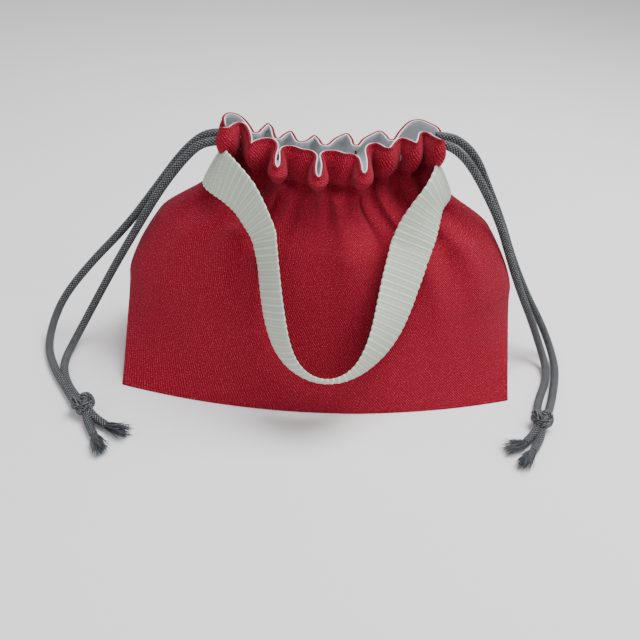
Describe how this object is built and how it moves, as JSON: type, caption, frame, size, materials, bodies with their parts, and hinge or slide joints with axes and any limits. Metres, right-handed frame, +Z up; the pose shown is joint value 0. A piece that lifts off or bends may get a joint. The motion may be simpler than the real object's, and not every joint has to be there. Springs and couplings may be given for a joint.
{
  "type": "knitting project bag",
  "caption": "Drawstring knitting bag with a boxed base, gathered tunnel mouth, braided drawstrings knotted at each side and a webbing strap hanging over the front.",
  "frame": {"origin": "centre of the flat base, on the surface the bag stands on", "axes": "+X along the front edge to the right as seen from the front, +Y to the back, +Z up"},
  "size_m": [0.3308, 0.1824, 0.147],
  "materials": {
    "crimson_twill": "matte woven twill",
    "pale_lining": "smooth plain-weave cotton",
    "sage_webbing": "ribbed webbing with a faint sheen",
    "braided_cord": "dark braided cord",
    "frayed_fibre": "loose dark fibres",
    "stiffener_board": "matte board"
  },
  "bodies": {
    "bag": {"outer_front": "crimson_twill", "outer_back": "crimson_twill", "outer_base": "crimson_twill", "base_stiffener": "stiffener_board", "lining_front": "pale_lining", "lining_back": "pale_lining", "lining_base": "pale_lining", "strap_tab_left": "sage_webbing", "strap_tab_right": "sage_webbing"},
    "mouth_front": {"casing_front": "crimson_twill", "cord_run_front_left": "braided_cord", "cord_run_front_right": "braided_cord", "strap_shoulder_left": "sage_webbing", "strap_shoulder_right": "sage_webbing"},
    "mouth_back": {"casing_back": "crimson_twill", "cord_run_back_left": "braided_cord", "cord_run_back_right": "braided_cord"},
    "handle": {"handle_strap": "sage_webbing"},
    "left_drawstring": {"left_strand_inner": "braided_cord", "left_strand_outer": "braided_cord", "left_knot": "braided_cord", "left_tail_one": "braided_cord", "left_tail_two": "braided_cord", "left_tuft_one": "frayed_fibre", "left_tuft_two": "frayed_fibre"},
    "right_drawstring": {"right_strand_inner": "braided_cord", "right_strand_outer": "braided_cord", "right_knot": "braided_cord", "right_tail_one": "braided_cord", "right_tail_two": "braided_cord", "right_tuft_one": "frayed_fibre", "right_tuft_two": "frayed_fibre"}
  },
  "joints": [
    {"name": "mouth_front_opens", "type": "slide", "parent": "bag", "child": "mouth_front", "axis": [0, -1, 0], "range_m": [0, 0.022]},
    {"name": "mouth_back_opens", "type": "slide", "parent": "bag", "child": "mouth_back", "axis": [0, 1, 0], "range_m": [0, 0.022]},
    {"name": "strap_swing", "type": "hinge", "parent": "mouth_front", "child": "handle", "pos_m": [0, -0.02, 0.118], "axis": [-1, 0, 0], "range_deg": [0, 140]},
    {"name": "left_cord_pull", "type": "slide", "parent": "bag", "child": "left_drawstring", "axis": [-1, 0, 0], "range_m": [0, 0.01]},
    {"name": "right_cord_pull", "type": "slide", "parent": "bag", "child": "right_drawstring", "axis": [1, 0, 0], "range_m": [0, 0.01]}
  ],
  "couplings": [
    {"joint": "mouth_back_opens", "follows": "mouth_front_opens", "ratio": 1}
  ]
}
